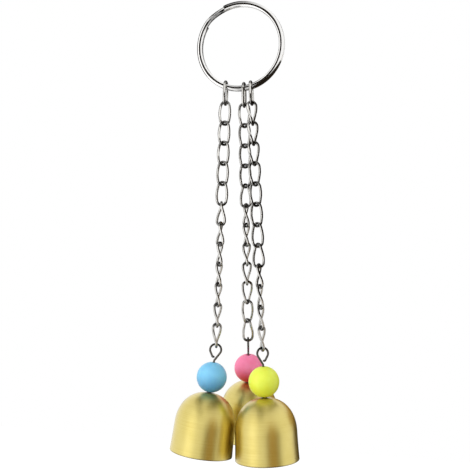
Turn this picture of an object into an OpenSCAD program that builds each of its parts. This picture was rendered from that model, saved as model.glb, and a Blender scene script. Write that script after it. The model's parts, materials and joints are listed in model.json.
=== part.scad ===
// Hanging bird bell toy: a split ring carries three curb chains, and each chain ends
// in a wire hanger with a round bead above a dome bell with a swinging clapper.
// Millimetres, +Z up. The origin is the inside top of the split ring, where it hangs,
// and the ring lies in the XZ plane.

/* [Split ring] */
// Outer diameter of the split ring
ring_od = 30; // [24:0.5:40]
// Width of the ring's wire, across its face
ring_wire_w = 1.8; // [1.4:0.1:2.4]
// Thickness of one coil of the ring
ring_wire_t = 0.9; // [0.7:0.05:1.2]
// Gap between the two coils
ring_coil_gap = 0.1; // [0.05:0.05:0.3]
// Angle over which the wire steps from the front coil to the back one
ring_jog = 30; // [20:1:50]

/* [Chain] */
// Links in each chain
chain_links = 13; // [8:1:14]
// Diameter of the chain wire
chain_wire_d = 0.85; // [0.6:0.05:1]
// Length inside a link
link_in_len = 6.9; // [6:0.05:9]
// Room on each side of the ring inside a link
link_play = 0.35; // [0.3:0.05:0.6]
// Gap where one link bears on the next
link_gap = 0.14; // [0.1:0.01:0.2]
// How far the legs of a link bow out past its round ends, on each side
link_bow = 0.12; // [0.04:0.02:0.16]
// Twist of a curb link from end to end
link_twist = 60; // [55:5:90]

/* [Hanger wire] */
// Diameter of the hanger wire
hanger_wire_d = 0.7; // [0.6:0.05:1]
// Width of the eye above the bead
eye_w = 4.4; // [4:0.1:5]
// Height of the eye, from its top to its neck
eye_h = 5.8; // [5.2:0.1:8]
// Width of the loop inside the bell
loop_w = 2.9; // [2.7:0.1:3.5]
// Height of the loop inside the bell
loop_h = 4; // [3.6:0.1:5]

/* [Bead] */
// Diameter of a bead
bead_d = 10; // [8:0.5:14]
// Diameter of the hole through a bead
bead_bore = 1.6; // [1.3:0.1:2.5]

/* [Bell] */
// Diameter of a bell at its mouth
bell_d = 20.8; // [16:0.2:26]
// Height of a bell
bell_h = 19.8; // [18:0.2:26]
// Height of the rounded dome, from the crown down
bell_dome_h = 11; // [9:0.5:14]
// How far the skirt flares out below the dome, on each side
bell_flare = 0.4; // [0:0.05:1.5]
// Wall thickness of a bell
bell_wall = 0.7; // [0.5:0.05:1]
// Diameter of the hole in a bell's crown
bell_bore = 1.6; // [1.3:0.1:2.2]
// Gap between neighbouring bells at their mouths
bell_gap = 1.4; // [0.6:0.1:4]

/* [Clapper] */
// Diameter of the clapper wire
clapper_wire_d = 0.85; // [0.6:0.05:1]
// Width of the clapper's eye
clapper_eye_w = 2.9; // [2.7:0.1:3.5]
// Distance from the clapper's pivot to the centre of its ball
clapper_len = 8; // [7:0.1:9]
// Diameter of the clapper ball
clapper_ball_d = 6; // [4:0.2:6.4]

/* [Hanging] */
// Where the blue string hangs on the ring, from its lowest point
blue_hang = -21; // [-40:1:-15]
// Where the pink string hangs on the ring
pink_hang = 5; // [-5:1:6]
// Where the yellow string hangs on the ring
yellow_hang = 15; // [14:1:40]
// Bearing of the pink bell round the plumb line, with the others a third of a turn each way
fan_turn = 92; // [70:1:110]
// How far the middle of the bells hangs to the side of the ring's plumb line
fan_offset = -0.8; // [-3:0.1:3]
// How much further out than the others the pink bell hangs
pink_reach = 6; // [0:0.5:8]
// Extra outward lean of the blue bell
blue_lean = 7; // [0:0.5:9]

/* [Hidden] */
tints = ["blue", "pink", "yellow"];
strings = [0, 1, 2];
hang_angle = [blue_hang, pink_hang, yellow_hang];
bell_lean = [blue_lean, 0, 0];
bell_reach = [0, pink_reach, 0];
bead_colour = [[0.36, 0.68, 0.84], [0.93, 0.42, 0.6], [0.87, 0.9, 0.25]];
steel = [0.78, 0.78, 0.8];
brass = [0.84, 0.74, 0.4];

// Clearances and small bends
ring_seat = 0.12;
ring_end_gap = 0.5;
eye_end_gap = 0.12;
neck_gap = 0.5;
crown_gap = 0.1;
loop_gap = 0.45;
neck_bend_r = 1.2;
hook_r = 0.35;
hook_turn = 105;
hook_run = 0.2;

// Facets of the swept wires
$fn = 48;
wire_sides = 8;
ring_sides = 12;
ring_steps = 40;
link_arc_steps = 6;
link_leg_steps = 3;
eye_arc_steps = 9;
neck_steps = 2;
hook_steps = 3;
bell_steps = 16;

// Split ring
ring_end_angle = 113;
ring_roundness = 2.6;
ring_mid_r = (ring_od - ring_wire_w) / 2;
ring_z = ring_wire_w - ring_od / 2;
ring_stack = 2 * ring_wire_t + ring_coil_gap;
coil_offset = (ring_wire_t + ring_coil_gap) / 2;
end_gap_angle = ring_end_gap / ring_mid_r * 180 / PI;
coil_run = 360 - ring_jog - end_gap_angle;
wind_run = coil_run + 360 - end_gap_angle;

// Links: centre line of the oval, which is four arcs, and where the first one sits on the ring
link_r = ring_stack / 2 + link_play + chain_wire_d / 2;
link_end_r = link_r - link_bow;
link_half = (link_in_len + chain_wire_d) / 2;
link_end_c = link_half - link_end_r;
link_side_r = (link_r ^ 2 + link_end_c ^ 2 - link_end_r ^ 2) / (2 * link_bow);
link_side_span = asin(link_end_c / (link_side_r - link_end_r));
link_pitch = link_in_len - link_gap;
seat_r = link_end_r - chain_wire_d / 2 - ring_seat;
seat_drop = min([for (p = oval_wire(ring_wire_w, ring_wire_t))
  sqrt(seat_r ^ 2 - (coil_offset + p[1]) ^ 2) - p[0]]);
first_link = seat_drop + link_end_c;

// Turns of chosen links about their string, by link number: the chains hang with a slow twist
link_turns = [
  [[2, 15], [5, 15], [6, 8], [7, -45], [8, -60], [9, -74], [11, -84], [13, -102]],
  [[2, 30], [5, 15], [6, -12], [7, -70], [10, -108], [11, -125], [12, -155], [13, -195]],
  [[2, 65], [3, 60], [4, 50], [6, 20], [7, 15], [9, -15], [10, -68], [13, -88]]];
// Half a turn for the hanger whose free wire end is on the left
hanger_flip = [180, 0, 0];

// Fullness of a bell's shoulder: 2 is an ellipse
bell_roundness = 2.2;

// Heights on a hanger, from the point where its eye bears on the last link
eye_r = (eye_w - hanger_wire_d) / 2;
eye_top = (hanger_wire_d + link_gap) / 2;
eye_c = eye_top - eye_r;
neck_z = eye_top + hanger_wire_d / 2 - eye_h;
bead_z = neck_z - neck_gap - bead_d / 2;
crown_z = bead_z - bead_d / 2 - crown_gap;
mouth_z = crown_z - bell_h;
loop_neck_z = crown_z - bell_wall - loop_gap;
loop_r = (loop_w - hanger_wire_d) / 2;
loop_bottom = loop_neck_z - loop_h + hanger_wire_d / 2;
loop_c = loop_bottom + loop_r;
clapper_pivot = loop_bottom;
clapper_eye_r = (clapper_eye_w - clapper_wire_d) / 2;
clapper_eye_c = (hanger_wire_d + clapper_wire_d) / 2 + link_gap - clapper_eye_r;

// Each string aims from its hang point at the middle of its bell's mouth
chain_len = first_link + (chain_links - 1) * link_pitch + link_half - (chain_wire_d + link_gap) / 2;
fan_r = (bell_d + bell_gap) / (2 * sin(180 / len(strings)));
hang_points = [for (a = hang_angle) [ring_mid_r * sin(a), 0, ring_z - ring_mid_r * cos(a)]];

function link_name(s, k) = str(tints[s], "_chain_link_", k < 10 ? "0" : "", k);
function piece_name(s, piece) = str(tints[s], "_", piece);
function unit(v) = v / norm(v);

// Plan direction from the hang point to the bell's mouth, and its distance
function fan_bearing(s) = fan_turn + (1 - s) * 360 / len(strings);
function plan(s) = let (b = fan_bearing(s), r = fan_r + bell_reach[s], h = hang_points[s])
  [fan_offset + r * cos(b) - h[0], r * sin(b) - h[1]];
function bearing(s) = atan2(plan(s)[1], plan(s)[0]);
// Tilt of the chain that brings the mouth to its place, with the bell's own lean added below the chain
function tilt(s) = let (a = chain_len - mouth_z * cos(bell_lean[s]), b = -mouth_z * sin(bell_lean[s]))
  asin(norm(plan(s)) / norm([a, b])) - atan2(b, a);

// Turn of a link about its string: the first one stands square to the ring's wire
function link_turn(s, k) = k == 1 ? 90 : lookup(k, link_turns[s]);
function eye_turn(s) = link_turn(s, chain_links) + link_twist / 2 + 90 + hanger_flip[s];

// Arc of points round c, from angle a to angle b
function arc(c, r, a, b, steps) =
  [for (i = [0 : steps]) let (t = a + (b - a) * i / steps) c + r * [cos(t), sin(t)]];

// Pear-shaped loop of wire with its neck at the origin: it leaves the neck on the left, rounds
// a circle of radius r at height c, comes down on the right and ends in a small hook bent
// inwards, short of the left leg
function pear(r, c, wire) = let (
    half = asin(r / c),
    start = neck_bend_r * tan(half / 2),
    bend = half + hook_turn,
    hook = arc([-hook_r * cos(half), hook_r * sin(half)], hook_r, -half, -bend, hook_steps),
    hook_end = hook[hook_steps] - hook_run * [sin(bend), cos(bend)],
    stop = (wire + eye_end_gap - hook_end * [cos(half), sin(half)]) / sin(2 * half))
  concat(
    arc([-neck_bend_r, -start], neck_bend_r, 0, half, neck_steps),
    arc([0, c], r, 180 + half, -half, eye_arc_steps),
    [for (p = concat(hook, [hook_end])) stop * [sin(half), cos(half)] + p]);

// Centre line of a link in its own plane, width then height: round ends joined by long bowed legs
function oval() = let (b = link_side_span, side_c = link_side_r - link_r) concat(
  arc([0, link_end_c], link_end_r, b, 180 - b, link_arc_steps),
  inner(arc([side_c, 0], link_side_r, 180 - b, 180 + b, link_leg_steps)),
  arc([0, -link_end_c], link_end_r, 180 + b, 360 - b, link_arc_steps),
  inner(arc([-side_c, 0], link_side_r, -b, b, link_leg_steps)));
function inner(points) = [for (i = [1 : len(points) - 2]) points[i]];
// Angle of the twisted plane at height z
function twist_at(z, twist) = -twist / 2 * sin(90 * z / link_half);

// Outlines across a wire
function round_wire(d) =
  [for (i = [0 : wire_sides - 1]) let (t = 360 * i / wire_sides) d / 2 * [cos(t), sin(t)]];
function bulge(v, n) = sign(v) * abs(v) ^ (2 / n);
function oval_wire(w, t) = [for (i = [0 : ring_sides - 1]) let (a = 360 * i / ring_sides)
  [w * bulge(cos(a), ring_roundness), t * bulge(sin(a), ring_roundness)] / 2];

// Point on a dome's outline, from its crown to where the skirt starts
function dome(r, h, i) = let (a = 90 * i / bell_steps)
  [r * bulge(sin(a), bell_roundness), h * bulge(cos(a), bell_roundness)];

// Outline carried along a path, with one direction across the path at each point
module sweep(path, across, outline, closed) {
  m = len(path);
  n = len(outline);
  last = closed ? m - 1 : m - 2;
  points = [for (i = [0 : m - 1]) let (
      ahead = path[closed ? (i + 1) % m : min(i + 1, m - 1)],
      back = path[closed ? (i + m - 1) % m : max(i - 1, 0)],
      t = unit(ahead - back),
      x = unit(across[i] - (across[i] * t) * t),
      y = cross(t, x))
    for (p = outline) path[i] + p[0] * x + p[1] * y];
  walls = [for (i = [0 : last], j = [0 : n - 1]) let (
      a = i * n + j,
      b = i * n + (j + 1) % n,
      c = (i + 1) % m * n + j,
      d = (i + 1) % m * n + (j + 1) % n)
    each [[a, c, b], [b, c, d]]];
  caps = closed ? [] : [[for (j = [0 : n - 1]) j], [for (j = [n - 1 : -1 : 0]) (m - 1) * n + j]];
  polyhedron(points = points, faces = concat(walls, caps), convexity = 6);
}

// A piece at a distance down a chain, turned about it
module on_chain(s, down, turn) {
  translate(hang_points[s])
    rotate([0, 0, bearing(s)])
      rotate([0, -tilt(s), 0])
        translate([0, 0, -down])
          rotate([0, 0, turn - bearing(s)])
            children();
}

// A piece of a hanger, measured from where its eye bears on the last link
module on_hanger(s, turn) {
  translate(hang_points[s])
    rotate([0, 0, bearing(s)])
      rotate([0, -tilt(s), 0])
        translate([0, 0, -chain_len])
          rotate([0, -bell_lean[s], 0])
            rotate([0, 0, turn - bearing(s)])
              children();
}

// Two coils of flattened wire: the front one starts at a cut end, runs once round,
// steps back beside that end and runs round again behind itself
module split_ring() {
  steps = ceil(wind_run / 360 * ring_steps);
  angles = [for (i = [0 : steps]) ring_end_angle - wind_run * i / steps];
  depth = [for (i = [0 : steps]) let (t = (wind_run * i / steps - coil_run) / ring_jog)
    -coil_offset * cos(180 * max(0, min(1, t)))];
  path = [for (i = [0 : steps]) let (a = angles[i])
    [ring_mid_r * cos(a), depth[i], ring_z + ring_mid_r * sin(a)]];
  across = [for (a = angles) [cos(a), 0, sin(a)]];
  color(steel) sweep(path, across, oval_wire(ring_wire_w, ring_wire_t), false);
}

// Oval link of round wire, twisted about its length into a curb link; the first stays flat
module chain_link(s, k) {
  twist = k == 1 ? 0 : link_twist;
  flat = oval();
  path = [for (p = flat) let (f = twist_at(p[1], twist)) [p[0] * cos(f), p[0] * sin(f), p[1]]];
  across = [for (p = flat) let (f = twist_at(p[1], twist)) [-sin(f), cos(f), 0]];
  color(steel)
    on_chain(s, first_link + (k - 1) * link_pitch, link_turn(s, k))
      sweep(path, across, round_wire(chain_wire_d), true);
}

// One bent wire: the eye on the chain, the stem through bead and bell, and the loop for the clapper
module hanger_wire(s) {
  eye = pear(eye_r, eye_c - neck_z, hanger_wire_d);
  loop = pear(loop_r, loop_neck_z - loop_c, hanger_wire_d);
  path = concat(
    [for (i = [len(eye) - 1 : -1 : 0]) [eye[i][0], 0, neck_z + eye[i][1]]],
    [for (p = loop) [p[0], 0, loop_neck_z - p[1]]]);
  across = [for (p = path) [0, 1, 0]];
  color(steel) on_hanger(s, eye_turn(s)) sweep(path, across, round_wire(hanger_wire_d), false);
}

// Round bead, drilled through for the wire
module bead(s) {
  color(bead_colour[s])
    on_hanger(s, 0)
      translate([0, 0, bead_z])
        difference() {
          sphere(d = bead_d);
          cylinder(d = bead_bore, h = 2 * bead_d, center = true);
        }
}

// Spun dome with a straight skirt, open below and drilled through its crown
module bell(s) {
  dome_r = bell_d / 2 - bell_flare;
  spring_z = bell_h - bell_dome_h;
  outer = [for (i = [0 : bell_steps]) [0, spring_z] + dome(dome_r, bell_dome_h, i)];
  inner = [for (i = [bell_steps : -1 : 0])
    [0, spring_z] + dome(dome_r - bell_wall, bell_dome_h - bell_wall, i)];
  rim = [[bell_d / 2, 0], [bell_d / 2 - bell_wall, 0]];
  color(brass)
    on_hanger(s, 0)
      translate([0, 0, mouth_z])
        difference() {
          rotate_extrude() polygon(concat(outer, rim, inner));
          translate([0, 0, bell_h - 2 * bell_wall]) cylinder(d = bell_bore, h = 3 * bell_wall);
        }
}

// The clapper hangs plumb from the loop, square to it
module at_clapper(s) {
  lean = tilt(s) + bell_lean[s];
  on_hanger(s, 0)
    translate([0, 0, clapper_pivot])
      rotate([0, 0, bearing(s)])
        rotate([0, lean, 0])
          rotate([0, 0, eye_turn(s) + 90 - bearing(s)])
            children();
}

// Round eye on a straight shank
module clapper_wire(s) {
  shank_top = clapper_eye_c - clapper_eye_r;
  color(steel) at_clapper(s) {
    translate([0, 0, clapper_eye_c])
      rotate([90, 0, 0])
        rotate_extrude() translate([clapper_eye_r, 0]) circle(d = clapper_wire_d);
    translate([0, 0, -clapper_len])
      cylinder(d = clapper_wire_d, h = clapper_len + shank_top);
  }
}

// Ball fixed on the end of the shank
module clapper_ball(s) {
  color(steel)
    at_clapper(s)
      translate([0, 0, -clapper_len])
        difference() {
          sphere(d = clapper_ball_d);
          cylinder(d = clapper_wire_d, h = clapper_ball_d);
        }
}

split_ring();
for (s = strings) {
  for (k = [1 : chain_links]) chain_link(s, k);
  hanger_wire(s);
  bead(s);
  bell(s);
  clapper_wire(s);
  clapper_ball(s);
}
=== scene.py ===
import json
import math

import bpy
import numpy as np
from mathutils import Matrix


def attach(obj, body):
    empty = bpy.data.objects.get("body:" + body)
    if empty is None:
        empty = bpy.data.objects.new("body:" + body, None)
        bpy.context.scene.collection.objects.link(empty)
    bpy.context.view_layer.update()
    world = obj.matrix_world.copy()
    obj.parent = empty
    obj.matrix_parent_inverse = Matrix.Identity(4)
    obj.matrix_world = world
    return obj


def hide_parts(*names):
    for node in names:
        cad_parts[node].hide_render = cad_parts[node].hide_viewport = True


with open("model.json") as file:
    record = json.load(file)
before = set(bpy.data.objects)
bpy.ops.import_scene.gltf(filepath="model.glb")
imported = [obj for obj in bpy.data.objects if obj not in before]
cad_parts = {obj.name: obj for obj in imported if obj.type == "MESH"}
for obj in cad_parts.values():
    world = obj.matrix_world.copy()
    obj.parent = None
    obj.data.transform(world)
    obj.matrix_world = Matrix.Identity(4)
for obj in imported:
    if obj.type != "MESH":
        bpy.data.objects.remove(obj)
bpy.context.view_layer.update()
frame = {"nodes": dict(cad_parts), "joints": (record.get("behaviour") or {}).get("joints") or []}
scene = bpy.context.scene
scene.view_settings.view_transform = "Standard"
mm = 0.001  # lengths are in metres
plumb = np.array([0.0, 0.0, 1.0])
tints = ("blue", "pink", "yellow")  # a string is named after its bead
jointOf = {joint["name"]: joint for joint in frame["joints"]}
linkCount = sum(name.startswith("blue_link_") for name in jointOf)
print("frame:", len(frame["nodes"]), "nodes,", linkCount, "links on each chain")


# Places from the frame

# Pivot of a joint, at rest
def pivotOf(joint):
    return np.array(jointOf[joint]["pos_m"])


# Axis that a joint turns about
def axisOf(joint):
    return np.array(jointOf[joint]["axis"])


# Points of a solid of the frame, one to a row
def nodePoints(name):
    mesh = frame["nodes"][name].data
    points = np.empty(len(mesh.vertices) * 3, np.float32)
    mesh.vertices.foreach_get("co", points)
    return points.reshape(-1, 3).astype(float)


# Curves and surfaces, as whole arrays

# Vectors divided by their lengths
def unit(v):
    return v / np.linalg.norm(v, axis=-1, keepdims=True)


# Step from 0 at low to 1 at high, either of which may be the greater: 3 t^2 - 2 t^3, with t the share
# of the way between them
def smoothStep(low, high, x):
    t = np.clip((x - low) / (high - low), 0, 1)
    return t * t * (3 - 2 * t)


# Arc: centre + radius * (cos a, sin a), with a running evenly from start to end, in degrees
def arc(centre, radius, start, end, count):
    a = np.radians(np.linspace(start, end, count))
    return np.array(centre) + radius * np.stack([np.cos(a), np.sin(a)], axis=1)


# Length run along a line of points, from 0 at the first
def lengthRun(points):
    return np.concatenate([[0], np.cumsum(np.linalg.norm(np.diff(points, axis=0), axis=1))])


# Wire with two cut ends, trimmed by trim: points every step along the line, and within blunt of an end
# rows at blunt * (1 - cos a). A swell grows there from almost 0 to 1, as the cube root of
# 1 - (1 - depth)^3, with depth the share of blunt.
wireEnd = {"rows": 6, "firstTurn": 0.15}


def cutWire(points, step, blunt, trim=0):
    run = lengthRun(points)
    start, end = trim, run[-1] - trim
    nearEnd = blunt * (1 - np.cos(np.linspace(wireEnd["firstTurn"], np.pi / 2, wireEnd["rows"])))
    body = np.linspace(start + blunt, end - blunt, int(run[-1] / step))
    s = np.concatenate([start + nearEnd, body[1:-1], end - nearEnd[::-1]])
    line = np.stack([np.interp(s, run, column) for column in points.T], axis=1)
    depth = np.clip(np.minimum(s - start, end - s) / blunt, 0, 1)
    return line, np.cbrt(1 - (1 - depth) ** 3), s


# Tube: point(i, j) = line[i] + swell[i] * (outline[j].x * side[i] + outline[j].y * lift[i]),
# where side is across less its share along the line, and lift is square to both
def sweptTube(line, across, outline, swell):
    along = unit(np.gradient(line, axis=0))
    side = unit(across - np.sum(across * along, axis=1, keepdims=True) * along)
    lift = np.cross(along, side)
    section = swell[:, None, None] * outline
    return line[:, None] + section[..., :1] * side[:, None] + section[..., 1:] * lift[:, None]


# Turned shell: point(i, j) = middle + r[i] * (cos t[j] * side + sin t[j] * (up x side)) + z[i] * up
def turnedShell(profile, middle, side, up, count):
    t = np.linspace(0, 2 * np.pi, count, endpoint=False)
    spoke = np.cos(t)[:, None] * side + np.sin(t)[:, None] * np.cross(up, side)
    return middle + profile[:, None, :1] * spoke + profile[:, None, 1:] * up


# Round outline: half the diameter * (cos t, sin t)
def roundOutline(diameter, sides):
    return arc((0, 0), diameter / 2, 0, 360 * (1 - 1 / sides), sides)


# Fan over an end row: triangles from the hub to each two neighbours. On the map the hub has a u of its
# own, and its v is halfway between the two.
def endFan(cols, rowStart, hub, uRow, uHub, v):
    j = np.arange(cols)
    fan = np.stack([np.full(cols, hub), rowStart + (j + 1) % cols, rowStart + j], axis=1)
    uFan = np.broadcast_to((uHub, uRow, uRow), (cols, 3))
    vFan = np.stack([(v[:-1] + v[1:]) / 2, v[1:], v[:-1]], axis=1)
    return fan, np.stack([uFan, vFan], axis=-1)


# Skin over a grid of points: quads join neighbouring rows and columns, and columns close on themselves.
# Rows close too on a ring, and otherwise a fan of triangles closes each end. In the map u is the length
# along the rows, and v the length around.
def skin(grid, wearAndPaintedShade, ring=False):
    rows, cols = grid.shape[:2]
    points = grid.reshape(-1, 3)
    rubAndShade = np.broadcast_to(np.reshape(wearAndPaintedShade, (rows, -1)), (rows, cols))
    wornAndShaded = rubAndShade.reshape(-1)
    i, j = np.meshgrid(np.arange(rows if ring else rows - 1), np.arange(cols), indexing="ij")
    corners = ((0, 0), (0, 1), (1, 1), (1, 0))
    quads = np.stack([(i + di) % rows * cols + (j + dj) % cols for di, dj in corners], axis=-1)
    u = lengthRun(np.concatenate([grid[:, 0], grid[:1, 0]]))
    v = np.linspace(0, np.linalg.norm(np.diff(grid, axis=1), axis=2).sum(axis=1).max(), cols + 1)
    quadMap = np.stack([np.stack([u[i + di], v[j + dj]], axis=-1) for di, dj in corners], axis=-2)
    faces = [(quads.reshape(-1, 4), quadMap.reshape(-1, 4, 2))]
    if not ring:
        firstRow, uLast = u[1] - u[0], u[rows - 1]
        firstFan = endFan(cols, 0, rows * cols, u[0], u[0] - firstRow, v)
        lastFan = endFan(cols, (rows - 1) * cols, rows * cols + 1, uLast, uLast + firstRow, v)
        lastFan = tuple(corner[:, [0, 2, 1]] for corner in lastFan)  # it faces the other way
        faces += [firstFan, lastFan]
        points = np.concatenate([points, grid[[0, -1]].mean(axis=1)])
        wornAndShaded = np.concatenate([wornAndShaded, rubAndShade[[0, -1]].mean(axis=1)])
    return {"points": points, "faces": faces, "wearAndPaintedShade": wornAndShaded}


# Mesh of one or more skins, each turned over if the volume that it encloses comes out negative:
# the sum of a . (b x c) + a . (c x d) over its quads a, b, c, d
def meshOf(name, *skins):
    faces, maps = [], []
    first = 0
    for part in skins:
        centred = part["points"] - part["points"].mean(axis=0)
        quads = part["faces"][0][0]
        a, b, c, d = (centred[quads[:, k]] for k in range(4))
        inward = np.sum(a * np.cross(b, c)) + np.sum(a * np.cross(c, d)) < 0
        order = slice(None, None, -1 if inward else 1)
        for corners, cornerMap in part["faces"]:
            faces += (corners[:, order] + first).tolist()
            maps.append(cornerMap[:, order].reshape(-1))
        first += len(centred)
    mesh = bpy.data.meshes.new(name)
    mesh.from_pydata(np.concatenate([part["points"] for part in skins]).tolist(), [], faces)
    mesh.uv_layers.new(name="UVMap").data.foreach_set("uv", np.concatenate(maps).astype(np.float32))
    wearAndPaintedShade = np.concatenate([part["wearAndPaintedShade"] for part in skins]).astype(np.float32)
    # the wear attribute holds real wear and also painted shade and painted reflections
    mesh.attributes.new("wearAndPaintedShade", "FLOAT", "POINT").data.foreach_set("value", wearAndPaintedShade)
    mesh.polygons.foreach_set("use_smooth", np.ones(len(faces), bool))
    mesh.update()
    return mesh


# Piece at the origin, with its place in its mesh, that rides a body and stands in for a solid
def addPiece(mesh, material, body, node):
    piece = bpy.data.objects.new(mesh.name, mesh)
    scene.collection.objects.link(piece)
    mesh.materials.append(material)
    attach(piece, body)
    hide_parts(node)


# Materials

# Screen colour, 0 to 255, as the linear colour that a shader takes: c / 12.92 for the darkest, and
# otherwise ((c + 0.055) / 1.055)^2.4
def linear(red, green, blue):
    c = np.array([red, green, blue]) / 255
    c = np.where(c <= 0.04045, c / 12.92, ((c + 0.055) / 1.055) ** 2.4)
    return (*c.tolist(), 1)


# Node whose inputs are linked from sockets or set to values
def addNode(tree, kind, inputs=None, **settings):
    node = tree.nodes.new(kind)
    for setting, value in settings.items():
        setattr(node, setting, value)
    for socket, value in (inputs or {}).items():
        if isinstance(value, bpy.types.NodeSocket):
            tree.links.new(value, node.inputs[socket])
        else:
            node.inputs[socket].default_value = value
    return node


def newMaterial(name, sockets):
    material = bpy.data.materials.new(name)
    material.use_nodes = True
    shader = material.node_tree.nodes["Principled BSDF"]
    for socket, value in sockets.items():
        shader.inputs[socket].default_value = value
    return material, material.node_tree, shader


# Value carried evenly from the range fromLow to fromHigh into the range low to high
def spread(tree, value, low, high, fromLow=0.0, fromHigh=1.0):
    ranges = {"Value": value, "From Min": fromLow, "From Max": fromHigh, "To Min": low, "To Max": high}
    return addNode(tree, "ShaderNodeMapRange", ranges).outputs["Result"]


# Noise on stretched coordinates, with the middle of its range spread to run from 0 to 1
noiseShape = {"roughness": 0.6, "low": 0.3, "high": 0.7}


def stretchedNoise(tree, coordinates, scale, detail=3.0):
    mapping = addNode(tree, "ShaderNodeMapping", {"Vector": coordinates, "Scale": scale})
    sockets = {"Vector": mapping.outputs["Vector"], "Scale": 1.0, "Detail": detail,
               "Roughness": noiseShape["roughness"]}
    noise = addNode(tree, "ShaderNodeTexNoise", sockets)
    return spread(tree, noise.outputs["Fac"], 0, 1, noiseShape["low"], noiseShape["high"])


def mathNode(tree, operation, first, second):
    return addNode(tree, "ShaderNodeMath", {0: first, 1: second}, operation=operation).outputs["Value"]


def mixColour(tree, factor, first, second):
    mix = addNode(tree, "ShaderNodeMixRGB", {"Fac": factor, "Color1": first, "Color2": second})
    return mix.outputs["Color"]


def wearAndShadeOf(tree):
    return addNode(tree, "ShaderNodeAttribute", attribute_name="wearAndPaintedShade").outputs["Fac"]


def bumpInto(tree, shader, height, finish):
    bump = addNode(tree, "ShaderNodeBump", {"Height": height, "Strength": finish["bump"],
                                            "Distance": finish["bumpHigh"]})
    tree.links.new(bump.outputs["Normal"], shader.inputs["Normal"])


# Plated wire: bright metal with faint lines drawn along it, cloudy roughness, and plating rubbed
# darker where the piece is worn, and painted darker as shade and dark reflections where marked
wireFinish = {"cloud": (900, 900, 900), "drawn": (350, 9000, 1), "leastRub": 0.6, "bump": 0.06,
              "bumpHigh": 0.02 * mm}
platings = {
    # the ring's and the chain's near-black rubbed colours paint dark reflections and shade where marked
    "nickelRing": {"bright": (246, 245, 243), "rubbedAndShaded": (24, 23, 22), "rough": (0.06, 0.12)},
    "nickelChain": {"bright": (238, 236, 231), "rubbedAndShaded": (28, 25, 22), "rough": (0.06, 0.12)},
    # the hanger wire's nickel is painted darker all over, a painted shade in place of dark reflections
    "shadedNickelWire": {"bright": (100, 98, 94), "rubbedAndShaded": (40, 37, 33), "rough": (0.1, 0.2)},
    "clapperSteel": {"bright": (196, 196, 197), "rubbedAndShaded": (120, 118, 115), "rough": (0.22, 0.34)},
}


def platedWire(name, plating, finish):
    material, tree, shader = newMaterial(name, {"Metallic": 1.0})
    place = addNode(tree, "ShaderNodeTexCoord").outputs
    cloud = stretchedNoise(tree, place["Object"], finish["cloud"])
    drawn = stretchedNoise(tree, place["UV"], finish["drawn"])
    rubAndShade = mathNode(tree, "MULTIPLY", spread(tree, cloud, finish["leastRub"], 1), wearAndShadeOf(tree))
    colour = mixColour(tree, rubAndShade, linear(*plating["bright"]), linear(*plating["rubbedAndShaded"]))
    tree.links.new(colour, shader.inputs["Base Color"])
    tree.links.new(spread(tree, cloud, *plating["rough"]), shader.inputs["Roughness"])
    bumpInto(tree, shader, drawn, finish)
    return material


# Spun brass: lines turned around the bell, highlights stretched along its height, a cloudy tone under
# a thin lacquer, tarnish at the rim, and a painted shade round the crown hole under the bead
brassFinish = {"pale": (232, 214, 124), "deep": (220, 199, 98), "tarnishAndShade": (96, 74, 26), "stretch": 0.6,
               "lacquer": 1.0, "lacquerRough": 0.3, "rough": (0.41, 0.45), "cloud": (160, 160, 160),
               "lines": (4000, 40, 1), "lineDetail": 2.0, "bump": 0.02, "bumpHigh": 0.02 * mm}


def spunBrass(name, finish):
    sockets = {"Metallic": 1.0, "Anisotropic": finish["stretch"], "Coat Weight": finish["lacquer"],
               "Coat Roughness": finish["lacquerRough"]}
    material, tree, shader = newMaterial(name, sockets)
    place = addNode(tree, "ShaderNodeTexCoord").outputs
    cloud = stretchedNoise(tree, place["Object"], finish["cloud"])
    lines = stretchedNoise(tree, place["UV"], finish["lines"], finish["lineDetail"])
    streaks = mathNode(tree, "MULTIPLY", cloud, lines)
    tone = mixColour(tree, streaks, linear(*finish["pale"]), linear(*finish["deep"]))
    colour = mixColour(tree, wearAndShadeOf(tree), tone, linear(*finish["tarnishAndShade"]))
    tree.links.new(colour, shader.inputs["Base Color"])
    tree.links.new(spread(tree, lines, *finish["rough"]), shader.inputs["Roughness"])
    tangent = addNode(tree, "ShaderNodeTangent", direction_type="UV_MAP", uv_map="UVMap")
    tree.links.new(tangent.outputs["Tangent"], shader.inputs["Tangent"])
    bumpInto(tree, shader, lines, finish)
    return material


# Moulded bead: coloured plastic with a faint mottle, towards its foot a tint that paints the shade
# there and the light thrown up from the brass bell, a soft gloss and a fine skin
plasticFinish = {"cloudy": 0.15, "cloudyDeep": 0.8 * mm, "mottle": (420, 420, 420),
                 "grain": (6000, 6000, 6000), "rough": (0.36, 0.46), "bump": 0.05, "bumpHigh": 0.02 * mm}
# foot: painted shade under the bead, and on the pink one painted red light thrown up from the bell
beadColours = {
    "blue": {"body": (126, 198, 233), "shade": (116, 190, 229), "foot": (86, 152, 194)},
    "pink": {"body": (248, 136, 176), "shade": (244, 120, 162), "foot": (222, 54, 60)},
    "yellow": {"body": (228, 239, 84), "shade": (221, 232, 64), "foot": (222, 227, 58)},
}


def mouldedPlastic(name, colours, finish):
    sockets = {"Subsurface Weight": finish["cloudy"], "Subsurface Scale": finish["cloudyDeep"]}
    material, tree, shader = newMaterial(name, sockets)
    place = addNode(tree, "ShaderNodeTexCoord").outputs
    mottle = stretchedNoise(tree, place["Object"], finish["mottle"])
    grain = stretchedNoise(tree, place["Object"], finish["grain"])
    mottled = mixColour(tree, mottle, linear(*colours["body"]), linear(*colours["shade"]))
    colour = mixColour(tree, wearAndShadeOf(tree), mottled, linear(*colours["foot"]))
    tree.links.new(colour, shader.inputs["Base Color"])
    tree.links.new(spread(tree, mottle, *finish["rough"]), shader.inputs["Roughness"])
    bumpInto(tree, shader, grain, finish)
    return material


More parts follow.
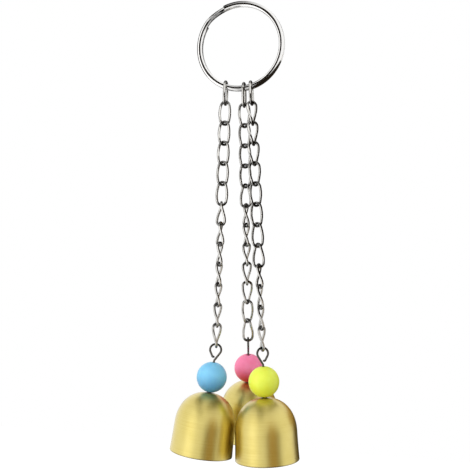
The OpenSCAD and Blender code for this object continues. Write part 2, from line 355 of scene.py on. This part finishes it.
metal = {name: platedWire(name, plating, wireFinish) for name, plating in platings.items()}
metal["bellBrass"] = spunBrass("bellBrass", brassFinish)
plastic = {tint: mouldedPlastic(f"bead{tint.title()}", colours, plasticFinish)
           for tint, colours in beadColours.items()}
print("materials:", len(bpy.data.materials))


# Split ring: its line runs clockwise from a cut end, steps back past that end as a cosine,
# and runs round once more behind the first coil
ringShape = {
    "outer": 30 * mm, "wide": 1.8 * mm, "thick": 0.9 * mm, "roundness": 2.1, "gap": 0.1 * mm,
    "cutAngle": 113, "cutGap": 0.5 * mm, "stepTurn": 30, "blunt": 0.12 * mm,
    "rows": 2000, "sides": 36, "step": 0.25 * mm,
    "outerFace": (-0.4, 0.3), "innerFace": (0.6, 0.1),  # across the wire, from -1 inside to 1 outside
    "foot": (0.85, 1), "footRub": 0.5,  # depth below the middle, in radii
    "firstEnd": (16 * mm, 3 * mm), "lastEnd": (20 * mm, 8 * mm),  # length from the cut
    "stepStart": (-12, 10), "stepFade": 4,  # degrees from the start of the step, and past its end
}
ringMiddle = np.array([0, 0, ringShape["wide"] - ringShape["outer"] / 2])


# Flattened outline: half of wide and thick * the signed (2 / roundness) power of cos t and sin t
def flattenedOutline(shape):
    spokes = roundOutline(2, shape["sides"])
    rounded = np.sign(spokes) * np.abs(spokes) ** (2 / shape["roundness"])
    return rounded * (shape["wide"] / 2, shape["thick"] / 2)


# Wear and painted dark reflections of the ring: the greatest of wear at the foot, where the chains bear,
# and dark bands painted in as reflections on the outer face near the first end, and on the inner face
# near the last end and along the step
def ringWearAndPaintedBands(shape, across, depth, run, turn):
    outer, inner = smoothStep(*shape["outerFace"], across), smoothStep(*shape["innerFace"], across)
    foot = shape["footRub"] * smoothStep(*shape["foot"], depth)
    firstEnd = smoothStep(*shape["firstEnd"], run)
    lastEnd = smoothStep(*shape["lastEnd"], run[-1] - run)
    stepEnd = smoothStep(shape["stepTurn"] + shape["stepFade"], shape["stepTurn"], turn)
    behind = np.maximum(lastEnd, smoothStep(*shape["stepStart"], turn) * stepEnd)
    # the ends: dark bands painted in as reflections; the foot: wear
    ends = np.maximum(firstEnd[:, None] * outer, behind[:, None] * inner)
    return np.maximum(foot[:, None], ends)


# Line: the ring's middle + radius * (cos a, sin a) in its plane, with back the way along its axis
def splitRing(shape):
    radius = (shape["outer"] - shape["wide"]) / 2
    cutTurn = math.degrees(shape["cutGap"] / radius)
    frontTurn = 360 - shape["stepTurn"] - cutTurn
    wound = np.linspace(0, frontTurn + 360 - cutTurn, shape["rows"])
    share = np.clip((wound - frontTurn) / shape["stepTurn"], 0, 1)
    back = -(shape["thick"] + shape["gap"]) / 2 * np.cos(np.pi * share)
    a = np.radians(shape["cutAngle"] - wound)
    points = ringMiddle + np.stack([radius * np.cos(a), back, radius * np.sin(a)], axis=1)
    line, swell, run = cutWire(points, shape["step"], shape["blunt"])
    outline = flattenedOutline(shape)
    tube = sweptTube(line, (line - ringMiddle) * (1, 0, 1), outline, swell)
    depth = (ringMiddle - line)[:, 2] / radius
    turn = np.degrees(run / radius) - frontTurn
    wearAndPaintedShade = ringWearAndPaintedBands(shape, outline[:, 0] * 2 / shape["wide"], depth, run, turn)
    return meshOf("splitRing", skin(tube, wearAndPaintedShade))


addPiece(splitRing(ringShape), metal["nickelRing"], "ring", "split_ring")
print("split ring:", round(ringShape["outer"] / mm), "mm across, two coils")


# Chain links: an oval of four arcs, twisted about its length and closed by a butt seam in the middle
# of one leg. Links are worn at their ends, with a painted shade where they meet, and the lowest ones are
# painted darker all over, a painted shade in place of dark reflections.
linkShape = {"wire": 0.85 * mm, "inLong": 6.9 * mm, "inWide": 2.6 * mm, "bow": 0.12 * mm, "twist": 60,
             "seam": 0.03 * mm, "blunt": 0.05 * mm, "legRows": 40, "endRows": 120, "sides": 20,
             "step": 0.11 * mm, "waist": 0.25, "endWearAndShade": (0.55, 0.92), "lowLinks": 6, "lowShade": 0.5}


# Oval: from the middle of the left leg round the lower end to the middle of the right one,
# and then the same points with their signs changed, round the upper end
def ovalLine(shape):
    half = (shape["inLong"] + shape["wire"]) / 2
    wide = (shape["inWide"] + shape["wire"]) / 2
    endRound = wide - shape["bow"]
    rise = half - endRound
    legRound = (wide**2 + rise**2 - endRound**2) / (2 * shape["bow"])
    span = math.degrees(math.asin(rise / (legRound - endRound)))
    leftLeg = arc((legRound - wide, 0), legRound, 180, 180 + span, shape["legRows"])
    lowerEnd = arc((0, -rise), endRound, 180 + span, 360 - span, shape["endRows"])
    rightLeg = arc((wide - legRound, 0), legRound, -span, 0, shape["legRows"])
    lower = np.concatenate([leftLeg, lowerEnd[1:], rightLeg[1:]])
    return np.concatenate([lower, -lower[1:]]), half


# Cosine and sine of the turn at a height from the link's middle, which is
# -twist / 2 * sin(90 degrees * height / half)
def twistAt(height, half, twist):
    turn = np.radians(-twist / 2) * np.sin(np.pi / 2 * height / half)
    return np.cos(turn)[:, None], np.sin(turn)[:, None]


# The link's middle is halfway up the solid on its string, and its legs lie along the longest
# spread of the solid's points near that height. The first link is flat.
def chainLink(tint, number, shape):
    node = f"{tint}_chain_link_{number:02d}"
    foot = pivotOf(f"{tint}_hanger_swing")
    up = unit(pivotOf(f"{tint}_link_01_swing") - foot)
    solid = nodePoints(node) - foot
    level = solid @ up
    middleLevel = (level.max() + level.min()) / 2
    oval, half = ovalLine(shape)
    waist = np.abs(level - middleLevel) < shape["waist"] * half
    flat = (solid - level[:, None] * up)[waist]
    side = np.linalg.eigh(flat.T @ flat)[1][:, 2]
    front = np.cross(up, side)
    twist = shape["twist"] if number > 1 else 0
    cosTurn, sinTurn = twistAt(oval[:, 1], half, twist)
    across = cosTurn * side + sinTurn * front
    points = foot + middleLevel * up + oval[:, :1] * across + oval[:, 1:] * up
    line, swell, _ = cutWire(points, shape["step"], shape["blunt"], shape["seam"] / 2)
    height = (line - foot) @ up - middleLevel
    cosTurn, sinTurn = twistAt(height, half, twist)
    outline = roundOutline(shape["wire"], shape["sides"])
    tube = sweptTube(line, cosTurn * front - sinTurn * side, outline, swell)
    # ends: wear at the link ends with painted shade where links meet; the lowest links get a painted
    # shade all over
    ends = smoothStep(*shape["endWearAndShade"], np.abs(height) / half)
    lowLinkShade = shape["lowShade"] * smoothStep(linkCount - shape["lowLinks"], linkCount, number)
    return meshOf(f"{tint}Link{number:02d}", skin(tube, np.maximum(ends, lowLinkShade))), node


for tint in tints:
    for number in range(1, linkCount + 1):
        mesh, node = chainLink(tint, number, linkShape)
        addPiece(mesh, metal["nickelChain"], node, node)
print("chains:", len(tints), "of", linkCount, "links")


# Hanger wires: a pear-shaped eye on the last link, a stem, and a pear-shaped loop inside the bell
hangerShape = {"wire": 0.7 * mm, "play": 0.14 * mm, "eyeWide": 4.4 * mm, "eyeHigh": 5.8 * mm,
               "loopWide": 2.9 * mm, "loopHigh": 4 * mm, "neckBend": 1.2 * mm, "hook": 0.35 * mm,
               "hookTurn": 105, "hookRun": 0.2 * mm, "endGap": 0.12 * mm, "blunt": 0.12 * mm,
               "bendRows": 20, "roundRows": 120, "sides": 20, "step": 0.11 * mm, "eyeWear": 1.5 * mm,
               "loopWear": 1 * mm}


# Pear with its neck at the origin: a bend to the left, a leg, the round of the given radius about
# (0, height), the other leg, and a hook bent inwards that stops short of the first leg
def pearLine(radius, height, shape):
    half = math.asin(radius / height)
    lean = math.degrees(half)
    bend = half + math.radians(shape["hookTurn"])
    toLeg = np.array([math.cos(half), math.sin(half)])
    hookEnd = np.array([math.sin(bend), math.cos(bend)])
    hookMiddle = shape["hook"] * toLeg * (-1, 1)
    hook = arc(hookMiddle, shape["hook"], -lean, -math.degrees(bend), shape["bendRows"])
    hook = np.concatenate([hook, hook[-1:] - shape["hookRun"] * hookEnd])
    stop = (shape["wire"] + shape["endGap"] - hook[-1] @ toLeg) / math.sin(2 * half)
    neckMiddle = (-shape["neckBend"], -shape["neckBend"] * math.tan(half / 2))
    neck = arc(neckMiddle, shape["neckBend"], 0, lean, shape["bendRows"])
    head = arc((0, height), radius, 180 + lean, -lean, shape["roundRows"])
    return np.concatenate([neck, head, stop * toLeg[::-1] + hook])


# The hanger's own directions: up its stem, and across in the plane of its eye and loop
def hangerAxes(tint):
    up = unit(pivotOf(f"{tint}_hanger_swing") - pivotOf(f"{tint}_bead_spin"))
    return up, unit(axisOf(f"{tint}_clapper_swing"))


# The line is flat: x across and y up from the hanger's pivot, which the eye's top and the loop's foot
# are measured from. The wire is worn where the link and the clapper bear on it.
def hangerWire(tint, shape):
    top = pivotOf(f"{tint}_hanger_swing")
    up, side = hangerAxes(tint)
    wire = shape["wire"]
    eyeRound, loopRound = (shape["eyeWide"] - wire) / 2, (shape["loopWide"] - wire) / 2
    eyeTop = (wire + shape["play"]) / 2
    eyeNeck = eyeTop + wire / 2 - shape["eyeHigh"]
    loopFoot = (pivotOf(f"{tint}_clapper_swing") - top) @ up
    loopNeck = loopFoot - wire / 2 + shape["loopHigh"]
    eye = pearLine(eyeRound, eyeTop - eyeRound - eyeNeck, shape) + (0, eyeNeck)
    loop = pearLine(loopRound, loopNeck - loopFoot - loopRound, shape) * (1, -1) + (0, loopNeck)
    flat = np.concatenate([eye[::-1], loop])
    points = top + flat[:, :1] * side + flat[:, 1:] * up
    line, swell, _ = cutWire(points, shape["step"], shape["blunt"])
    level = (line - top) @ up
    atEye = smoothStep(-shape["eyeWear"], eyeTop, level)
    atLoop = smoothStep(loopFoot + shape["loopWear"], loopFoot, level)
    tube = sweptTube(line, np.cross(up, side), roundOutline(wire, shape["sides"]), swell)
    return meshOf(f"{tint}HangerWire", skin(tube, np.maximum(atEye, atLoop)))


# Beads: a sphere with a bore whose edges are rounded, and a faint line round the middle where the
# halves of the mould met: r + seam * exp(-(z / seamWide)^2). A painted tint at the foot stands for the
# shade under the bead and the light thrown up from the brass bell.
beadShape = {"across": 10 * mm, "bore": 1.6 * mm, "edge": 0.3 * mm, "seam": 0.025 * mm,
             "seamWide": 0.1 * mm, "footShadeAndBounce": (0.4, -0.8), "ballRows": 121, "edgeRows": 10,
             "boreRows": 12, "around": 96}


# Profile: upper edge, ball, lower edge and bore, turned about the stem
def turnedBead(tint, shape):
    radius, edge, boreRound = shape["across"] / 2, shape["edge"], shape["bore"] / 2
    edgeOut = boreRound + edge
    edgeUp = math.sqrt((radius - edge) ** 2 - edgeOut**2)
    lean = math.degrees(math.atan2(edgeUp, edgeOut))
    ball = arc((0, 0), radius, lean, -lean, shape["ballRows"])[1:-1]
    ball[:, 0] += shape["seam"] * np.exp(-((ball[:, 1] / shape["seamWide"]) ** 2))
    bore = np.linspace((boreRound, -edgeUp), (boreRound, edgeUp), shape["boreRows"])[1:-1]
    upper = arc((edgeOut, edgeUp), edge, 180, lean, shape["edgeRows"])
    lower = arc((edgeOut, -edgeUp), edge, -lean, -180, shape["edgeRows"])
    profile = np.concatenate([upper, ball, lower, bore])
    up, side = hangerAxes(tint)
    shell = turnedShell(profile, pivotOf(f"{tint}_bead_spin"), side, up, shape["around"])
    # painted shade and painted light from the bell, growing towards the foot
    foot = smoothStep(*shape["footShadeAndBounce"], profile[:, 1] / radius)
    return meshOf(f"{tint}Bead", skin(shell, foot, ring=True))


# Bells: a full dome whose r and z - spring are half its width * sin a and its rise * cos a, each sine
# and cosine to the power 2 / roundness, on a skirt that flares as the cube of the depth below the
# crown. A second wall runs inside the first, and edges are rounded at the rim and the crown hole.
# The rim is tarnished, and the crown round the hole is painted darker, a painted shade under the bead.
bellShape = {"mouth": 20.8 * mm, "high": 19.8 * mm, "domeHigh": 11 * mm, "roundness": 2.2,
             "flare": 0.4 * mm, "wall": 0.7 * mm, "bore": 1.6 * mm, "rimEdge": 0.22 * mm,
             "boreEdge": 0.12 * mm, "rimTarnish": (0.4 * mm, 0), "crownShadeUnderBead": (2 * mm, 0.9 * mm),
             "domeRows": 60, "skirtRows": 32, "edgeRows": 8, "around": 128}


# One wall, from the crown hole down to the rim, inset from the outer face
def bellWall(shape, inset):
    dome = shape["mouth"] / 2 - shape["flare"] - inset
    spring = shape["high"] - shape["domeHigh"]
    rise = shape["domeHigh"] - inset
    power = 2 / shape["roundness"]
    first = math.asin(((shape["bore"] / 2 + shape["boreEdge"]) / dome) ** (1 / power))
    a = np.linspace(first, np.pi / 2, shape["domeRows"])
    r, z = dome * np.sin(a) ** power, spring + rise * np.abs(np.cos(a)) ** power
    skirt = np.linspace((dome, spring), (dome, shape["rimEdge"]), shape["skirtRows"])
    wall = np.concatenate([np.stack([r, z], axis=1), skirt[1:]])
    wall[:, 0] += shape["flare"] * (1 - wall[:, 1] / shape["high"]) ** 3
    return wall


# Profile: the hole's upper edge, outer wall, rim, inner wall and the hole's lower edge, turned about
# the stem
def spunBell(tint, shape):
    outer, inner = bellWall(shape, 0), bellWall(shape, shape["wall"])
    rim, bore, rows = shape["rimEdge"], shape["boreEdge"], shape["edgeRows"]
    boreTop = arc((outer[0, 0], outer[0, 1] - bore), bore, 180, 90, rows)
    rimOut = arc((outer[-1, 0] - rim, rim), rim, 0, -90, rows)
    rimIn = arc((inner[-1, 0] + rim, rim), rim, -90, -180, rows)
    boreFoot = arc((inner[0, 0], inner[0, 1] + bore), bore, -90, -180, rows)
    profile = np.concatenate([boreTop[:-1], outer[:-1], rimOut, rimIn, inner[-2::-1], boreFoot[1:]])
    up, side = hangerAxes(tint)
    mouth = pivotOf(f"{tint}_bell_spin") - shape["high"] / 2 * up
    shell = turnedShell(profile, mouth, side, up, shape["around"])
    r, z = profile.T
    # rim tarnish, and a painted shade round the crown hole under the bead
    tarnishAndShade = np.maximum(smoothStep(*shape["rimTarnish"], z), smoothStep(*shape["crownShadeUnderBead"], r))
    return meshOf(f"{tint}Bell", skin(shell, tarnishAndShade, ring=True))


# Clappers: a welded eye and shank of wire, hung plumb, and a ball on its end, worn round its middle
clapperShape = {"wire": 0.85 * mm, "eyeWide": 2.9 * mm, "play": 0.14 * mm, "long": 8 * mm, "ball": 6 * mm,
                "blunt": 0.1 * mm, "step": 0.2 * mm, "eyeWear": 0.6, "ballWear": (0.8, 1),
                "ballFoot": -89, "ballRows": 90, "sides": 20, "around": 64}


# The eye is the wire's outline turned about a level line, the shank a straight tube, and the ball an
# arc turned about a plumb one, flat where the shank goes in
def clapper(tint, shape):
    pivot = pivotOf(f"{tint}_clapper_swing")
    front = unit(axisOf(f"{tint}_clapper_swing") * (1, 1, 0))
    side = np.cross(front, plumb)
    wire = shape["wire"]
    outline = roundOutline(wire, shape["sides"])
    eyeRound = (shape["eyeWide"] - wire) / 2
    eyeLevel = (hangerShape["wire"] + wire) / 2 + shape["play"] - eyeRound
    eye = turnedShell(outline + (eyeRound, 0), pivot + eyeLevel * plumb, side, front, shape["around"])
    ends = pivot + np.array([[eyeLevel - eyeRound], [-shape["long"]]]) * plumb
    line, swell, _ = cutWire(ends, shape["step"], shape["blunt"])
    shank = sweptTube(line, side, outline, swell)
    eyeSkin = skin(eye, np.full(shape["sides"], shape["eyeWear"]), ring=True)
    wireMesh = meshOf(f"{tint}ClapperWire", eyeSkin, skin(shank, np.zeros(len(line))))
    hole = math.degrees(math.acos(wire / shape["ball"]))
    profile = arc((0, 0), shape["ball"] / 2, hole, shape["ballFoot"], shape["ballRows"])
    ball = turnedShell(profile, pivot - shape["long"] * plumb, side, plumb, shape["around"])
    ballWear = smoothStep(*shape["ballWear"], profile[:, 0] * 2 / shape["ball"])
    return wireMesh, meshOf(f"{tint}ClapperBall", skin(ball, ballWear))


for tint in tints:
    hanger = hangerWire(tint, hangerShape)
    addPiece(hanger, metal["shadedNickelWire"], f"{tint}_hanger", f"{tint}_hanger_wire")
    bead = turnedBead(tint, beadShape)
    addPiece(bead, plastic[tint], f"{tint}_bead", f"{tint}_bead")
    bell = spunBell(tint, bellShape)
    addPiece(bell, metal["bellBrass"], f"{tint}_bell", f"{tint}_bell")
    shank, ball = clapper(tint, clapperShape)
    addPiece(shank, metal["clapperSteel"], f"{tint}_clapper", f"{tint}_clapper_wire")
    addPiece(ball, metal["clapperSteel"], f"{tint}_clapper", f"{tint}_clapper_ball")
    print(tint, "hanger, bead, bell and clapper")


# Studio: directions are turned to the right of the lens and raised above level, in degrees
studio = {"lensTurn": 15, "distance": 240 * mm, "aside": -1.8 * mm, "below": 63 * mm, "sensor": 36,
          "focalPixels": 718.5, "pictureWide": 470, "clipStart": 0.01, "level": 0.95}
lensTurn = math.radians(studio["lensTurn"])
toRight = np.array([math.cos(lensTurn), math.sin(lensTurn), 0])
toLens = np.array([math.sin(lensTurn), -math.cos(lensTurn), 0])
aim = ringMiddle + studio["aside"] * toRight - studio["below"] * plumb


# Direction: cos raised * (cos turned * to the lens + sin turned * to the right) + sin raised * up
def direction(turned, raised):
    turned, raised = np.radians(turned)[..., None], np.radians(raised)[..., None]
    return np.cos(raised) * (np.cos(turned) * toLens + np.sin(turned) * toRight) + np.sin(raised) * plumb


camera = bpy.data.objects.new("camera", bpy.data.cameras.new("camera"))
camera.data.sensor_fit = "HORIZONTAL"
camera.data.sensor_width = studio["sensor"]
camera.data.lens = studio["sensor"] * studio["focalPixels"] / studio["pictureWide"]
camera.data.clip_start = studio["clipStart"]
camera.location = aim + studio["distance"] * toLens
camera.rotation_euler = (math.pi / 2, 0, lensTurn)
scene.collection.objects.link(camera)
scene.camera = camera


# Lamps: a wide one for matt surfaces only, and a narrower one that glossy ones show too
lamps = {
    "keyLamp": {"turned": -55, "raised": 5, "reach": 0.6, "size": (0.7, 1.1), "watts": 2.5,
                "inGloss": False},
    "glossLamp": {"turned": -50, "raised": 0, "reach": 0.6, "size": (0.36, 1.1), "watts": 0.5,
                  "inGloss": True},
}


# The lamp faces the aim: tipped by the angle from plumb to its direction, and turned round to it
def addLamp(name, turned, raised, reach, size, watts, inGloss):
    lamp = bpy.data.objects.new(name, bpy.data.lights.new(name, "AREA"))
    lamp.data.shape = "RECTANGLE"
    lamp.data.size, lamp.data.size_y = size
    lamp.data.energy = watts
    away = direction(np.float64(turned), np.float64(raised))
    x, y, z = away
    lamp.location = aim + reach * away
    lamp.rotation_euler = (math.acos(z), 0, math.atan2(y, x) + math.pi / 2)
    lamp.visible_camera = False
    lamp.visible_glossy = inGloss
    scene.collection.objects.link(lamp)


for name, lamp in lamps.items():
    addLamp(name, **lamp)


# 1 for what a lens, a gloss or a glass sees, and 0 for the light that falls on matt surfaces
def seenDirectly(tree):
    paths = addNode(tree, "ShaderNodeLightPath").outputs
    either = mathNode(tree, "MAXIMUM", paths["Is Camera Ray"], paths["Is Glossy Ray"])
    return mathNode(tree, "MAXIMUM", either, paths["Is Transmission Ray"])


# White room: matt surfaces are lit at the studio's level, and what is seen past the object is white
world = bpy.data.worlds.new("studio")
scene.world = world
world.use_nodes = True
background = world.node_tree.nodes["Background"]
background.inputs["Color"].default_value = (1, 1, 1, 1)
whiteLevel = spread(world.node_tree, seenDirectly(world.node_tree), studio["level"], 1)
world.node_tree.links.new(whiteLevel, background.inputs["Strength"])


# Sheet of the stage over a grid of points: quads join neighbouring rows and columns
def addStage(name, points, material, unseen):
    rows, cols = points.shape[:2]
    i, j = np.meshgrid(np.arange(rows - 1), np.arange(cols - 1), indexing="ij")
    corners = ((0, 0), (1, 0), (1, 1), (0, 1))
    quads = np.stack([(i + di) * cols + j + dj for di, dj in corners], axis=-1)
    mesh = bpy.data.meshes.new(name)
    mesh.from_pydata(points.reshape(-1, 3).tolist(), [], quads.reshape(-1, 4).tolist())
    mesh.materials.append(material)
    sheet = bpy.data.objects.new(name, mesh)
    scene.collection.objects.link(sheet)
    if unseen:
        sheet.visible_camera = sheet.visible_diffuse = sheet.visible_shadow = False


# Floor: matt grey paint, with a glow only where it is seen directly
floorShape = {"level": -0.6, "half": 1.5, "tone": 0.33, "glow": 0.76}


def floorPaint(shape):
    material = bpy.data.materials.new("floorPaint")
    material.use_nodes = True
    tree = material.node_tree
    grey = (shape["tone"],) * 3 + (1,)
    matt = addNode(tree, "ShaderNodeBsdfDiffuse", {"Color": grey}).outputs["BSDF"]
    strength = spread(tree, seenDirectly(tree), 0, shape["glow"])
    glow = addNode(tree, "ShaderNodeEmission", {"Strength": strength}).outputs["Emission"]
    both = addNode(tree, "ShaderNodeAddShader", {0: matt, 1: glow}).outputs["Shader"]
    tree.links.new(both, tree.nodes["Material Output"].inputs["Surface"])
    return material


edges = (-floorShape["half"], floorShape["half"])
x, y = np.meshgrid(edges, edges)
floorPoints = np.stack([x, y, np.full((2, 2), floorShape["level"])], axis=-1)
addStage("floor", floorPoints, floorPaint(floorShape), False)


# Flags that only a gloss sees, of dark cloth or of brown card that glows: the first four stand close
# round the chains and the ring, and the others further out
clothSockets = {"Base Color": (0.02, 0.015, 0.01, 1), "Roughness": 1.0, "Specular IOR Level": 0.0}
glowSockets = {"Emission Strength": 1.0, "Emission Color": linear(160, 120, 20)}
flagCloth = newMaterial("flagCloth", clothSockets)[0]
brownCard = newMaterial("brownCard", {**clothSockets, **glowSockets})[0]
flags = {
    "sideFlag": {"reach": 0.03, "turns": (-10, 95), "levels": (-0.02, 0.054)},
    "backLeftFlag": {"reach": 0.034, "turns": (-155, -105), "levels": (-0.018, 0.045)},
    "ringLeftFlag": {"reach": 0.034, "turns": (-155, -85), "levels": (0.045, 0.1)},
    "backRightFlag": {"reach": 0.034, "turns": (95, 155), "levels": (-0.026, 0.1)},
    "lowFlag": {"reach": 0.12, "turns": (10, 36), "levels": (-0.16, -0.02), "cloth": brownCard},
    "edgeFlag": {"reach": 0.3, "turns": (0, 48), "levels": (-0.25, -0.03)},
    "floorFlag": {"reach": 0.3, "turns": (-40, 75), "levels": (-0.5, -0.25)},
    "footFlag": {"reach": 0.1, "turns": (-180, 180), "levels": (-0.6, -0.2)},
    "rimFlag": {"reach": 0.3, "turns": (112, 200), "levels": (-0.35, -0.06)},
    "backCard": {"reach": 0.3, "turns": (100, 172), "levels": (-0.06, 0.06), "cloth": brownCard},
    "ceilingFlag": {"reach": 0.2, "turns": (-160, -40), "levels": (0.3, 1.0)},
    "lensFlag": {"reach": 0.15, "turns": (-48, -14), "levels": (0.06, 0.15)},
}


# Flag: a patch of a cylinder about the aim, between two turns and two levels
def addFlag(name, reach, turns, levels, cloth=flagCloth, columns=24):
    turned, level = np.meshgrid(np.linspace(*turns, columns), levels)
    points = aim + reach * direction(turned, 0 * turned) + level[..., None] * plumb
    addStage(name, points, cloth, True)


for name, flag in flags.items():
    addFlag(name, **flag)
print("studio: camera,", len(lamps), "lamps, floor and", len(flags), "flags")
